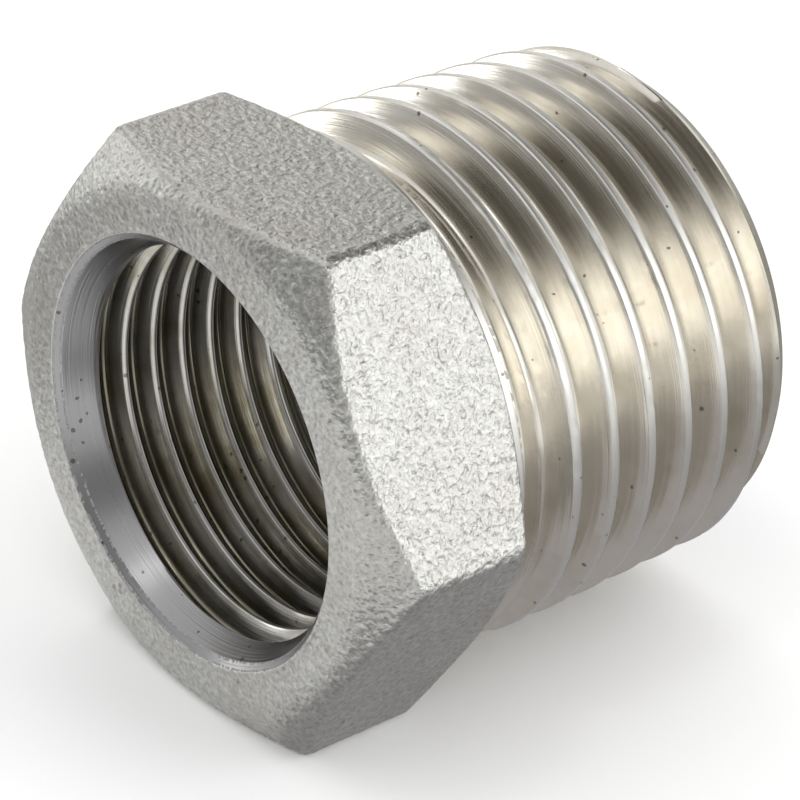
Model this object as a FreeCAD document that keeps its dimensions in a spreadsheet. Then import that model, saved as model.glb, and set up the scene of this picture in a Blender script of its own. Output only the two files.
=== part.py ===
"""Reducing hex bushing: a hexagon collar, a tapered outside thread and an inside thread.

Frame: the fitting lies on one flat of its hexagon. The axis of both threads runs along +Y,
from the hexagon's open face to the end of the outside thread, and the origin is on it, halfway
along the fitting. +Z is up, square to the uppermost flat. Lengths are in millimetres.
"""
import FreeCAD, Part
import Sketcher
import math
import os

NODE = "hex_bushing"

# Driving dimensions, in millimetres and degrees. The fitting is drawn with its open face at
# y = 0 and moved back by half its length at the end. Angles round the axis are counted from
# +X towards +Z.
SIZES = [
    ("overall_length", 21.0),
    ("hex_across_flats", 21.0),
    ("hex_length", 7.0),
    ("hex_corner_radius", 0.6),
    ("face_bevel_diameter", 19.9),
    ("hex_bevel_angle", 30.0),
    ("cast_stem_length", 4.4),
    ("outer_end_diameter", 20.0),
    ("outer_taper_ratio", 16.0),
    ("outer_pitch", 1.814),
    ("outer_depth", 1.15),
    ("outer_crest_width", 0.26),
    ("outer_start_angle", 195.0),
    ("shoulder_land", 0.28),
    ("ring_clearance", 0.03),
    ("end_bevel_length", 1.2),
    ("end_bevel_depth", 0.94),
    ("inner_minor_diameter", 14.95),
    ("inner_pitch", 1.337),
    ("inner_depth", 0.82),
    ("inner_crest_width", 0.22),
    ("inner_thread_length", 13.5),
    ("inner_start_angle", 39.0),
    ("mouth_diameter", 16.7),
    ("mouth_bevel_depth", 0.3),
    ("lead_in_length", 1.4),
    ("through_diameter", 14.5),
    ("through_bevel_depth", 0.4),
    ("flank_angle", 27.5),
]

# Formulas over the sheet that more than one outline uses.
BEVEL_SLOPE = "tan(Sizes.hex_bevel_angle * 1 deg)"
FLANK_SLOPE = "tan(Sizes.flank_angle * 1 deg)"
TAPER_SLOPE = "(0.5 / Sizes.outer_taper_ratio)"
END_RADIUS = "(Sizes.outer_end_diameter / 2)"
TAPER_START = "(Sizes.hex_length + Sizes.cast_stem_length)"
STEM_RADIUS = "(%s + (Sizes.overall_length - %s) * %s)" % (END_RADIUS, TAPER_START, TAPER_SLOPE)
MINOR_RADIUS = "(Sizes.inner_minor_diameter / 2)"
THROUGH_RADIUS = "(Sizes.through_diameter / 2)"

# How far a cutting outline stands clear of the piece it cuts, so that no faces coincide.
BEYOND = "1"
CLEAR_RADIUS = "(Sizes.hex_across_flats + %s)" % BEYOND

# A thread's cutter stands this share of the flat crest's clear height above the crest.
OVERRUN_SHARE = 0.8


def make_sheet(doc):
    """Put every driving dimension into the sheet, with its name beside it."""
    sheet = doc.addObject("Spreadsheet::Sheet", "Sizes")
    for row, (name, value) in enumerate(SIZES, start=1):
        sheet.set("A%d" % row, name)
        sheet.set("B%d" % row, str(value))
        sheet.setAlias("B%d" % row, name)
    doc.recompute()
    return sheet


def profile_sketch(body, name, corners, turn="0"):
    """Draw a closed outline in a half-plane that starts at the axis.

    corners: formulas for the distance from the axis and the place along it, in order.
    turn: formula for the angle round the axis at which the half-plane stands.
    """
    sketch = body.newObject("Sketcher::SketchObject", name)
    base = [plane for plane in body.Origin.OriginFeatures if plane.Role == "XY_Plane"][0]
    sketch.AttachmentSupport = (base, "")
    sketch.MapMode = "FlatFace"
    about_axis = FreeCAD.Rotation(FreeCAD.Vector(0, -1, 0), 1)
    sketch.AttachmentOffset = FreeCAD.Placement(FreeCAD.Vector(0, 0, 0), about_axis)
    sketch.setExpression("AttachmentOffset.Rotation.Angle", "(%s) * 1 deg" % turn)
    points = [
        FreeCAD.Vector(float(sketch.evalExpression(across)), float(sketch.evalExpression(along)), 0)
        for across, along in corners
    ]
    count = len(points)
    for index in range(count):
        sketch.addGeometry(Part.LineSegment(points[index], points[(index + 1) % count]), False)
    for index in range(count):
        sketch.addConstraint(Sketcher.Constraint("Coincident", index, 2, (index + 1) % count, 1))
    for index, (across, along) in enumerate(corners):
        place_corner(sketch, index, "DistanceX", "across_%d" % index, across, points[index].x)
        place_corner(sketch, index, "DistanceY", "along_%d" % index, along, points[index].y)
    return sketch


def place_corner(sketch, index, kind, label, formula, value):
    """Tie one coordinate of an outline's corner to its formula."""
    axis = -2 if kind == "DistanceX" else -1
    if formula == "0":
        sketch.addConstraint(Sketcher.Constraint("PointOnObject", index, 1, axis))
        return
    number = sketch.addConstraint(Sketcher.Constraint(kind, -1, 1, index, 1, value))
    sketch.renameConstraint(number, label)
    sketch.setExpression("Constraints." + label, formula)


def turned_feature(body, kind, name, corners):
    """Add or cut a full turn of an outline about the axis."""
    sketch = profile_sketch(body, name + "Outline", corners)
    feature = body.newObject(kind, name)
    feature.Profile = sketch
    feature.ReferenceAxis = (sketch, ["V_Axis"])
    feature.Angle = 360
    body.Document.recompute()
    return feature


def hexagon(body):
    """The collar: a hexagon with softened corners and a turned bevel on both of its ends."""
    prism = body.newObject("PartDesign::AdditivePrism", "Hexagon")
    prism.Polygon = 6
    prism.setExpression("Circumradius", "Sizes.hex_across_flats / 2 / cos(30 deg)")
    prism.setExpression("Height", "Sizes.hex_length")
    prism.Placement = FreeCAD.Placement(
        FreeCAD.Vector(0, 0, 0), FreeCAD.Rotation(FreeCAD.Vector(1, 0, 0), -90)
    )
    body.Document.recompute()
    corner_edges = []
    for number, edge in enumerate(prism.Shape.Edges, start=1):
        start, end = edge.Vertexes[0].Point, edge.Vertexes[1].Point
        if abs(end.y - start.y) > 0.5 * prism.Shape.BoundBox.YLength:
            corner_edges.append("Edge%d" % number)
    corners = body.newObject("PartDesign::Fillet", "HexagonCorners")
    corners.Base = (prism, corner_edges)
    corners.setExpression("Radius", "Sizes.hex_corner_radius")
    body.Document.recompute()
    face_radius = "(Sizes.face_bevel_diameter / 2)"
    turned_feature(body, "PartDesign::Groove", "FaceBevel", [
        ("%s - %s" % (face_radius, BEYOND), "-%s * %s" % (BEYOND, BEVEL_SLOPE)),
        (CLEAR_RADIUS, "-%s * %s" % (BEYOND, BEVEL_SLOPE)),
        (CLEAR_RADIUS, "(%s - %s) * %s" % (CLEAR_RADIUS, face_radius, BEVEL_SLOPE)),
    ])
    turned_feature(body, "PartDesign::Groove", "BackBevel", [
        ("%s - %s" % (STEM_RADIUS, BEYOND), "Sizes.hex_length + %s * %s" % (BEYOND, BEVEL_SLOPE)),
        (CLEAR_RADIUS, "Sizes.hex_length + %s * %s" % (BEYOND, BEVEL_SLOPE)),
        (CLEAR_RADIUS, "Sizes.hex_length - (%s - %s) * %s" % (CLEAR_RADIUS, STEM_RADIUS, BEVEL_SLOPE)),
    ])


def stem(body):
    """The blank of the outside thread: a straight cast stretch, a taper and a bevelled end."""
    bevel_start = "Sizes.overall_length - Sizes.end_bevel_length"
    turned_feature(body, "PartDesign::Revolution", "Stem", [
        ("0", "Sizes.hex_length / 2"),
        (STEM_RADIUS, "Sizes.hex_length / 2"),
        (STEM_RADIUS, TAPER_START),
        ("%s + Sizes.end_bevel_length * %s" % (END_RADIUS, TAPER_SLOPE), bevel_start),
        (END_RADIUS + " - Sizes.end_bevel_depth", "Sizes.overall_length"),
        ("0", "Sizes.overall_length"),
    ])


def bore(body):
    """The hole through the fitting: bevelled mouth, conical lead-in, thread bore, through bore."""
    mouth_radius = "(Sizes.mouth_diameter / 2)"
    step = "Sizes.inner_thread_length + %s - %s" % (MINOR_RADIUS, THROUGH_RADIUS)
    turned_feature(body, "PartDesign::Groove", "Bore", [
        ("0", "-" + BEYOND),
        (mouth_radius, "-" + BEYOND),
        (mouth_radius, "0"),
        (mouth_radius + " - Sizes.mouth_bevel_depth", "Sizes.mouth_bevel_depth"),
        (MINOR_RADIUS, "Sizes.lead_in_length"),
        (MINOR_RADIUS, "Sizes.inner_thread_length"),
        (THROUGH_RADIUS, step),
        (THROUGH_RADIUS, "Sizes.overall_length - Sizes.through_bevel_depth"),
        (THROUGH_RADIUS + " + Sizes.through_bevel_depth", "Sizes.overall_length"),
        (THROUGH_RADIUS + " + Sizes.through_bevel_depth", "Sizes.overall_length + " + BEYOND),
        ("0", "Sizes.overall_length + " + BEYOND),
    ])


def inner_thread(body):
    """The parallel inside thread: one groove that starts at the lead-in's end and runs inwards."""
    overrun = "(%s * Sizes.inner_crest_width / 2 / %s)" % (OVERRUN_SHARE, FLANK_SLOPE)
    half_mouth = "((Sizes.inner_pitch - Sizes.inner_crest_width) / 2)"
    half_root = "(%s - Sizes.inner_depth * %s)" % (half_mouth, FLANK_SLOPE)
    half_top = "(%s + %s * %s)" % (half_mouth, overrun, FLANK_SLOPE)
    start = "Sizes.lead_in_length"
    section = profile_sketch(body, "InnerThreadSection", [
        ("%s - %s" % (MINOR_RADIUS, overrun), "%s - %s" % (start, half_top)),
        (MINOR_RADIUS + " + Sizes.inner_depth", "%s - %s" % (start, half_root)),
        (MINOR_RADIUS + " + Sizes.inner_depth", "%s + %s" % (start, half_root)),
        ("%s - %s" % (MINOR_RADIUS, overrun), "%s + %s" % (start, half_top)),
    ], turn="Sizes.inner_start_angle")
    body.Document.recompute()
    thread = body.newObject("PartDesign::SubtractiveHelix", "InnerThread")
    thread.Profile = section
    thread.ReferenceAxis = (section, ["V_Axis"])
    thread.Mode = "pitch-height-angle"
    thread.setExpression("Pitch", "Sizes.inner_pitch")
    thread.setExpression("Height", "Sizes.inner_thread_length - %s - %s" % (start, half_mouth))
    body.Document.recompute()
    return thread


def outer_section(sheet, clearance=0):
    """Work out the section of the outside thread's groove where it stands beside the shoulder.

    Returns the middle's place along the axis, half the width of its root, and the corners as
    (distance from the axis, place counted from the middle). The clearance makes it deeper, and
    as much wider.
    """
    slope = math.tan(math.radians(sheet.flank_angle))
    taper = 0.5 / sheet.outer_taper_ratio
    half_mouth = (sheet.outer_pitch - sheet.outer_crest_width) / 2
    # The groove's edge on the cast stretch lies one land behind the hexagon.
    edge = sheet.hex_length + sheet.shoulder_land
    taper_start = sheet.hex_length + sheet.cast_stem_length
    crest_radius = sheet.outer_end_diameter / 2 + (sheet.overall_length - edge - half_mouth) * taper
    stem_radius = sheet.outer_end_diameter / 2 + (sheet.overall_length - taper_start) * taper
    middle = edge + half_mouth - (crest_radius - stem_radius) * slope
    overrun = OVERRUN_SHARE * sheet.outer_crest_width / 2 / slope
    half_root = half_mouth - sheet.outer_depth * slope + clearance
    half_top = half_mouth + overrun * slope + clearance
    root_radius = crest_radius - sheet.outer_depth - clearance
    top_radius = crest_radius + overrun
    outline = [
        (top_radius, -half_top),
        (root_radius, -half_root),
        (root_radius, half_root),
        (top_radius, half_top),
    ]
    return middle, half_root, [(radius - offset * taper, offset) for radius, offset in outline]


def runout_ring(doc, sheet):
    """The ring that the thread's groove ends in, beside the shoulder."""
    middle, half_root, corners = outer_section(sheet, sheet.ring_clearance)
    points = [FreeCAD.Vector(radius, middle + offset, 0) for radius, offset in corners]
    section = Part.Face(Part.makePolygon(points + points[:1]))
    ring = doc.addObject("Part::Feature", "RunoutRing")
    ring.Shape = section.revolve(FreeCAD.Vector(0, 0, 0), FreeCAD.Vector(0, 1, 0), 360)
    return ring


def groove_turn(doc, sheet, number):
    """One turn of the outside thread's tapered groove, as a solid to cut away.

    It is drawn along its own +Z from its small end, as four conical helices with ruled faces
    between them, and then turned to run towards the shoulder. Turn 0 ends in the ring.
    """
    middle, half_root, corners = outer_section(sheet)
    taper = 0.5 / sheet.outer_taper_ratio
    shrink = (number + 1) * sheet.outer_pitch * taper
    edges = []
    for radius, offset in corners:
        cone = math.degrees(math.atan(taper))
        helix = Part.makeHelix(sheet.outer_pitch, sheet.outer_pitch, radius - shrink, cone)
        helix.translate(FreeCAD.Vector(0, 0, -offset))
        edges.append(helix.Edges[0])
    count = len(edges)
    faces = [Part.makeRuledSurface(edges[index], edges[(index + 1) % count], 1) for index in range(count)]
    for at_end in (False, True):
        ends = [edge.valueAt(edge.LastParameter if at_end else edge.FirstParameter) for edge in edges]
        faces.append(Part.Face(Part.makePolygon(ends + ends[:1])))
    shell = Part.makeShell(faces)
    shell.sewShape()
    solid = Part.makeSolid(shell)
    if solid.Volume < 0:
        solid.reverse()
    groove = doc.addObject("Part::Feature", "GrooveTurn%d" % number)
    groove.Shape = solid
    towards_shoulder = FreeCAD.Rotation(FreeCAD.Vector(1, 0, 0), 90)
    about_axis = FreeCAD.Rotation(FreeCAD.Vector(0, -1, 0), sheet.outer_start_angle)
    place = FreeCAD.Vector(0, middle + (number + 1) * sheet.outer_pitch, 0)
    groove.Placement = FreeCAD.Placement(place, about_axis.multiply(towards_shoulder))
    return groove


def outer_thread(doc, sheet, blank):
    """Cut the run-out ring, and then the groove turn by turn until its root has left the end."""
    middle, half_root, corners = outer_section(sheet)
    turns = math.ceil((sheet.overall_length + half_root - middle) / sheet.outer_pitch)
    fitting = cut(doc, "RingedBlank", blank, runout_ring(doc, sheet))
    for number in range(turns):
        fitting = cut(doc, "ThreadedTo%d" % number, fitting, groove_turn(doc, sheet, number))
    return fitting


def cut(doc, name, base, tool):
    """Take one solid away from another, and stop if nothing went."""
    feature = doc.addObject("Part::Cut", name)
    feature.Base = base
    feature.Tool = tool
    doc.recompute()
    if not feature.Shape.Volume < base.Shape.Volume:
        raise RuntimeError("nothing was cut away by " + name)
    return feature


def check(doc, part):
    """Stop on any failed object and on a result that isn't one valid solid."""
    for item in doc.Objects:
        if "Invalid" in item.State or "Error" in item.State:
            raise RuntimeError("failed: " + item.Name)
        if item.TypeId.startswith("Part") and (item.Shape.isNull() or not item.Shape.isValid()):
            raise RuntimeError("bad shape: " + item.Name)
    if len(part.Shape.Solids) != 1:
        raise RuntimeError("the fitting isn't one solid")


def main():
    """Model the fitting, check it and write it."""
    doc = FreeCAD.newDocument("HexBushing")
    sheet = make_sheet(doc)
    blank = doc.addObject("PartDesign::Body", "Blank")
    hexagon(blank)
    stem(blank)
    bore(blank)
    inner_thread(blank)
    fitting = outer_thread(doc, sheet, blank)
    fitting.Label = NODE
    fitting.setExpression("Placement.Base.y", "-Sizes.overall_length / 2")
    doc.recompute()
    check(doc, fitting)
    os.makedirs("parts", exist_ok=True)
    fitting.Shape.exportStep("parts/%s.step" % fitting.Label)


main()
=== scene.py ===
"""The looks of a cast stainless hex bushing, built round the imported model.

The fitting lies on one flat of its hexagon, with the axis of both threads along Y. Its skin is
modelled as two closed shells that meet at real edges: the cast collar, which is the hexagon with
its rough skin, and the turned stem, which carries the outside thread, the end and the whole bore.
Sizes here are in millimetres, counted along the axis from the hexagon's open face, and are turned
into the frame's metres when a mesh is made.
"""

import logging
import math
from dataclasses import dataclass, field
from enum import Enum

import bmesh
import bpy
import numpy as np
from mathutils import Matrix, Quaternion, Vector, noise

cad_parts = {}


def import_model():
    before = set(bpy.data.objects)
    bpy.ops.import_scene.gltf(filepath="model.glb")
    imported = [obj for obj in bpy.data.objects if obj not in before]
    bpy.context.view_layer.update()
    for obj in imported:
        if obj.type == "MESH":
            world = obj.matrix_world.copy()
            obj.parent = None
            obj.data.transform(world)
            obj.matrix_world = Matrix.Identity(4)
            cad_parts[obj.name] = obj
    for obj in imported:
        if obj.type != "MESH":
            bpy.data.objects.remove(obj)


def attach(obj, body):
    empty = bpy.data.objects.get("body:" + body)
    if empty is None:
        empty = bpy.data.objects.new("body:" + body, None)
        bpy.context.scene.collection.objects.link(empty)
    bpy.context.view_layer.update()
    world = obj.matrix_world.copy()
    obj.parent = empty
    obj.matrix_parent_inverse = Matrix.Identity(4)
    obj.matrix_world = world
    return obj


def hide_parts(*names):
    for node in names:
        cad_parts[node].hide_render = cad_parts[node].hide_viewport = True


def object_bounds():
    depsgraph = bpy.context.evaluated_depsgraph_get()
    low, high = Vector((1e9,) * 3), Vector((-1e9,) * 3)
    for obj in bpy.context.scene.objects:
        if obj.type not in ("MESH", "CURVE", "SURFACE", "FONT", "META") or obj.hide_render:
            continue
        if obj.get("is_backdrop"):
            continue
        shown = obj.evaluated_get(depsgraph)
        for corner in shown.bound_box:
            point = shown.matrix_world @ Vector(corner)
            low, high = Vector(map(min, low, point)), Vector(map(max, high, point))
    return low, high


LOG = logging.getLogger("hex_bushing")

MM = 0.001
BODY = "root"
NODE = "hex_bushing"
WELD_DISTANCE = 0.003 * MM

# The hexagon's angles in degrees, and a guard against rounding where turns are counted
SIDE_ANGLE = 60.0
HALF_SIDE = 30.0
NUDGE = 1e-9

# How a fractal noise's layers weaken and how much finer each is than the last
NOISE_FALL = 0.8
NOISE_STEP = 2.1

# Colour sockets of the Mix node, which share their names with sockets of other kinds
MIX_FIRST = 6
MIX_SECOND = 7
MIX_RESULT = 2

Place = tuple[float, float, float]
Colour = tuple[float, float, float, float]


class Finish(Enum):
    """The finishes of the fitting's faces, in the order of the material slots."""

    CAST = 0
    MACHINED = 1
    OUTSIDE_THREAD = 2
    INSIDE_THREAD = 3


@dataclass(frozen=True)
class FittingSizes:
    """Sizes that the collar and the stem share, in millimetres."""

    length: float = 21.0
    mouth_radius: float = 8.35
    mouth_bevel: float = 0.3
    stem_radius: float = 10.3
    hex_length: float = 7.0
    sleeve_radius: float = 8.37
    overlap: float = 0.03
    flange_inset: float = 0.2
    snap: float = 0.012


SIZES = FittingSizes()


def smooth_min(a: np.ndarray, b: np.ndarray, width: float) -> np.ndarray:
    """Takes the lower of two surfaces, with the edge where they cross rounded off.

    Args:
        a: First surface.
        b: Second surface.
        width: How far apart the two still round each other off.

    Returns:
        The rounded lower surface.
    """
    share = np.clip(0.5 + 0.5 * (b - a) / width, 0.0, 1.0)
    return b + (a - b) * share - width * share * (1.0 - share) * 0.5


def smooth_max(a: np.ndarray, b: np.ndarray, width: float) -> np.ndarray:
    """Takes the higher of two surfaces, with the edge where they cross rounded off."""
    return -smooth_min(-a, -b, width)


def ease(value: np.ndarray) -> np.ndarray:
    """Eases a ramp from 0 to 1, flat at both ends."""
    held = np.clip(value, 0.0, 1.0)
    return held * held * (3.0 - 2.0 * held)


def snap(along: np.ndarray, place: float) -> np.ndarray:
    """Moves the points that nearly reach a place along the axis onto it."""
    return np.where(np.abs(along - place) < SIZES.snap, place, along)


@dataclass(frozen=True)
class RoughLayer:
    """A fractal noise, with the size of its largest bumps in millimetres."""

    size: float
    octaves: int
    seed: float

    def sample(self, points: np.ndarray) -> np.ndarray:
        """Samples the noise at points in millimetres, as values of about -1 to 1."""
        scaled = points / self.size + self.seed
        return np.array([noise.fractal(Vector(p), NOISE_FALL, NOISE_STEP, self.octaves) for p in scaled])


class Shell:
    """Collects the bands of a skin round the axis and welds them into one closed mesh."""

    def __init__(self, name: str) -> None:
        """Starts an empty shell.

        Args:
            name: Name of the object to be made.
        """
        self.name = name
        self.points: list[np.ndarray] = []
        self.quads: list[np.ndarray] = []
        self.finishes: list[np.ndarray] = []
        self.marks: dict[str, list[np.ndarray]] = {"across": [], "land": [], "root_shade": [], "plain": []}
        self.count = 0

    def add_band(
        self,
        radius: np.ndarray,
        along: np.ndarray,
        angle: np.ndarray,
        finish: Finish,
        closed: bool = True,
        marks: dict[str, np.ndarray] | None = None,
    ) -> None:
        """Adds a grid of points as a band of faces.

        Args:
            radius: Distance from the axis, one row for each line of the band.
            along: Place along the axis, counted from the open face.
            angle: Angle round the axis in degrees, from +X towards +Z.
            finish: Finish of the band's faces.
            closed: Whether the last column joins the first.
            marks: Values for each point, by the name of the surface attribute.
        """
        rows, columns = np.broadcast_shapes(radius.shape, along.shape, angle.shape)
        turn = np.radians(np.broadcast_to(angle, (rows, columns)))
        radius = np.broadcast_to(radius, (rows, columns))
        along = np.broadcast_to(along, (rows, columns))
        x, z = radius * np.cos(turn), radius * np.sin(turn)
        self.points.append(np.stack([x, along - SIZES.length / 2, z], axis=-1).reshape(-1, 3))
        index = self.count + np.arange(rows * columns).reshape(rows, columns)
        near = index if closed else index[:, :-1]
        far = np.roll(index, -1, axis=1) if closed else index[:, 1:]
        quads = np.stack([near[:-1], far[:-1], far[1:], near[1:]], axis=-1).reshape(-1, 4)
        self.quads.append(quads)
        self.finishes.append(np.full(len(quads), finish.value))
        for name, values in self.marks.items():
            given = (marks or {}).get(name, np.zeros(1))
            values.append(np.broadcast_to(given, (rows, columns)).reshape(-1))
        self.count += rows * columns

    def build(self, sharp_angle: float) -> bpy.types.Object:
        """Welds the bands and makes the object.

        Args:
            sharp_angle: Edges that turn by more than this, in degrees, are shaded sharp.

        Returns:
            The new object, linked to the scene.
        """
        mesh = bpy.data.meshes.new(self.name)
        points = np.concatenate(self.points) * MM
        mesh.from_pydata(points.tolist(), [], np.concatenate(self.quads).tolist())
        mesh.polygons.foreach_set("material_index", np.concatenate(self.finishes).astype(np.int32))
        for name, values in self.marks.items():
            layer = mesh.attributes.new(name, "FLOAT", "POINT")
            layer.data.foreach_set("value", np.concatenate(values).astype(np.float32))
        body = bmesh.new()
        body.from_mesh(mesh)
        bmesh.ops.remove_doubles(body, verts=body.verts, dist=WELD_DISTANCE)
        bmesh.ops.recalc_face_normals(body, faces=body.faces)
        open_edges = sum(1 for edge in body.edges if len(edge.link_faces) != 2)
        body.to_mesh(mesh)
        body.free()
        mesh.polygons.foreach_set("use_smooth", [True] * len(mesh.polygons))
        mesh.set_sharp_from_angle(angle=math.radians(sharp_angle))
        piece = bpy.data.objects.new(self.name, mesh)
        bpy.context.scene.collection.objects.link(piece)
        LOG.info("%s: %d faces, %d open edges", self.name, len(mesh.polygons), open_edges)
        return piece


@dataclass(frozen=True)
class CastRelief:
    """The relief of the cast skin, with its depths and distances in millimetres."""

    swell: RoughLayer = RoughLayer(3.2, 2, 4.7)
    swell_depth: float = 0.018
    crumple: RoughLayer = RoughLayer(0.42, 2, 11.3)
    crumple_depth: float = 0.034
    crumple_level: float = 0.75
    wrinkles: RoughLayer = RoughLayer(0.22, 2, 31.7)
    wrinkle_depth: float = 0.022
    squeeze: float = 1.7
    level: float = 0.035
    deepest: float = 0.2
    mouth_fade: float = 0.25
    back_gap: float = 0.05
    back_fade: float = 0.4
    calm: float = 0.8
    extra: float = 0.2
    extra_reach: float = 0.75
    extra_fade: float = 0.1
    side_start: float = 10.2
    side_fade: float = 0.3

    def depths(self, places: np.ndarray) -> np.ndarray:
        """Depth of the relief on the collar, a little more on the flat to the upper right.

        Args:
            places: Points in millimetres, one row each.

        Returns:
            One depth below the smooth skin for each point.
        """
        along = places[:, 1] + SIZES.length / 2
        radius = np.hypot(places[:, 0], places[:, 2])
        cast = ease((radius - SIZES.mouth_radius) / self.mouth_fade)
        cast *= ease((SIZES.hex_length - self.back_gap - along) / self.back_fade)
        squeezed = places * np.array([1.0, self.squeeze, 1.0])
        crumple = 1.0 - np.abs(self.crumple.sample(squeezed))
        around = np.degrees(np.arctan2(places[:, 2], places[:, 0]))
        right = ease((np.cos(np.radians(around - HALF_SIDE)) - self.extra_reach) / self.extra_fade)
        side = ease((radius - self.side_start) / self.side_fade)
        strength = self.calm + self.extra * right * side
        fine = self.crumple_depth * (crumple - self.crumple_level)
        fine = (fine + self.wrinkle_depth * self.wrinkles.sample(squeezed)) * strength
        relief = self.swell_depth * self.swell.sample(places) + fine
        return np.clip(self.level - relief, 0.0, self.deepest) * cast


@dataclass
class CastCollar:
    """The hexagon: a cast skin with softened edges and a turned bevel on both ends."""

    across_flats: float = 21.0
    corner_round: float = 0.6
    face_edge_radius: float = 9.95
    bevel_slope: float = math.tan(math.radians(30.0))
    mouth_edge_round: float = 0.04
    face_edge_round: float = 0.55
    front_edge_round: float = 0.26
    back_edge_round: float = 0.22
    longest_round: float = 0.45
    corner_columns: int = 10
    flat_columns: int = 112
    mouth_rows: int = 4
    face_rows: int = 18
    bevel_rows: int = 7
    flat_rows: int = 62
    back_rows: int = 8
    hidden_rows: int = 3
    round_rows: int = 6
    seen_corners: int = 5
    sharp_angle: float = 50.0
    relief: CastRelief = field(default_factory=CastRelief)

    def column_angles(self) -> np.ndarray:
        """Spaces the columns, close together round each corner and even along each flat.

        Returns:
            Angles in degrees for one full turn.
        """
        apothem = self.across_flats / 2
        tangent = self.corner_half_angle()
        corner = np.linspace(-tangent, tangent, self.corner_columns + 1)
        reach = apothem * math.tan(math.radians(HALF_SIDE - tangent))
        places = np.linspace(-reach, reach, self.flat_columns + 1)[1:-1]
        flat = HALF_SIDE + np.degrees(np.arctan(places / apothem))
        side = np.concatenate([corner, flat])
        return np.concatenate([SIDE_ANGLE * number + side for number in range(6)])

    def corner_half_angle(self) -> float:
        """Measures half the angle that a corner's round takes, seen from the axis.

        Returns:
            The angle in degrees.
        """
        half_side = math.radians(HALF_SIDE)
        centre = self.across_flats / 2 / math.cos(half_side) - self.corner_round / math.cos(half_side)
        side = self.corner_round * math.sin(half_side)
        return math.degrees(math.atan2(side, centre + self.corner_round * math.cos(half_side)))

    def outline(self, angles: np.ndarray) -> np.ndarray:
        """Distance of the hexagon's side faces from the axis.

        Args:
            angles: Angles round the axis in degrees.

        Returns:
            One distance for each angle.
        """
        apothem = self.across_flats / 2
        half_side = math.radians(HALF_SIDE)
        from_corner = np.radians((angles + HALF_SIDE) % SIDE_ANGLE - HALF_SIDE)
        flat = apothem / np.cos(half_side - np.abs(from_corner))
        centre = (apothem - self.corner_round) / math.cos(half_side)
        reach = np.sqrt(np.maximum(self.corner_round**2 - (centre * np.sin(from_corner)) ** 2, 0.0))
        rounded = centre * np.cos(from_corner) + reach
        return np.where(np.abs(np.degrees(from_corner)) < self.corner_half_angle(), rounded, flat)

    def profile(self, angles: np.ndarray) -> list[tuple[np.ndarray, np.ndarray, float, int]]:
        """Corners of the collar's section for each column.

        Args:
            angles: Angles round the axis in degrees.

        Returns:
            For each corner: distances from the axis, places along it, the edge's rounding, and the
            number of rows on the stretch that follows.
        """
        side = self.outline(angles)
        same = np.ones_like(side)
        front = (side - self.face_edge_radius) * self.bevel_slope
        back = SIZES.hex_length - (side - SIZES.stem_radius) * self.bevel_slope
        inside = SIZES.mouth_radius - SIZES.mouth_bevel
        buried = SIZES.overlap / self.bevel_slope
        behind = SIZES.hex_length + SIZES.overlap
        hidden = SIZES.sleeve_radius - 2 * SIZES.overlap
        return [
            (inside * same, SIZES.mouth_bevel * same, 0.0, self.mouth_rows),
            (SIZES.mouth_radius * same, 0.0 * same, self.mouth_edge_round, self.face_rows),
            (self.face_edge_radius * same, 0.0 * same, self.face_edge_round, self.bevel_rows),
            (side, front, self.front_edge_round, self.flat_rows),
            (side, back, self.back_edge_round, self.back_rows),
            ((SIZES.stem_radius - buried) * same, behind * same, 0.0, 1),
            (hidden * same, behind * same, 0.0, self.hidden_rows),
            (hidden * same, 2 * SIZES.mouth_bevel * same, 0.0, 1),
        ]

    def rows(self, angles: np.ndarray) -> tuple[np.ndarray, np.ndarray, int]:
        """Lays rows along the section, with each edge rounded.

        Args:
            angles: Angles round the axis in degrees.

        Returns:
            Distances from the axis, places along it, and the number of rows that can be seen.
        """
        corners = self.profile(angles)
        count = len(corners)
        places = [np.stack([radius, along], axis=-1) for radius, along, _, _ in corners]
        lines: list[np.ndarray] = []
        seen = 0
        for index, (_, _, rounding, steps) in enumerate(corners):
            here, after, before = places[index], places[(index + 1) % count], places[index - 1]
            start = here
            if rounding:
                towards_before = self.towards(here, before, rounding)
                start = self.towards(here, after, rounding)
                for step in range(self.round_rows):
                    share = step / self.round_rows
                    bent = (1 - share) ** 2 * towards_before + 2 * share * (1 - share) * here
                    lines.append(bent + share**2 * start)
            next_rounding = corners[(index + 1) % count][2]
            end = self.towards(after, here, next_rounding) if next_rounding else after
            lines.extend(start + (end - start) * step / steps for step in range(steps))
            if index + 1 == self.seen_corners:
                seen = len(lines)
        lines.append(places[0])
        grid = np.stack(lines)
        return grid[..., 0], grid[..., 1], seen

    def towards(self, here: np.ndarray, there: np.ndarray, distance: float) -> np.ndarray:
        """Steps from one corner towards another, by less than half the way.

        Args:
            here: Corner that the step starts at, for each column.
            there: Corner that it heads for.
            distance: Length of the step.

        Returns:
            The points that the step reaches.
        """
        gap = there - here
        length = np.linalg.norm(gap, axis=-1, keepdims=True)
        return here + gap * np.minimum(distance / length, self.longest_round)

    def roughen(self, piece: bpy.types.Object) -> None:
        """Presses the cast skin's relief into the mesh, inwards only.

        Args:
            piece: The collar's object.
        """
        mesh = piece.data
        places = np.empty(len(mesh.vertices) * 3)
        mesh.vertices.foreach_get("co", places)
        places = places.reshape(-1, 3) / MM
        normals = np.empty(len(mesh.vertices) * 3)
        mesh.vertices.foreach_get("normal", normals)
        places -= normals.reshape(-1, 3) * self.relief.depths(places)[:, None]
        mesh.vertices.foreach_set("co", (places * MM).reshape(-1))
        mesh.update()

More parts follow.
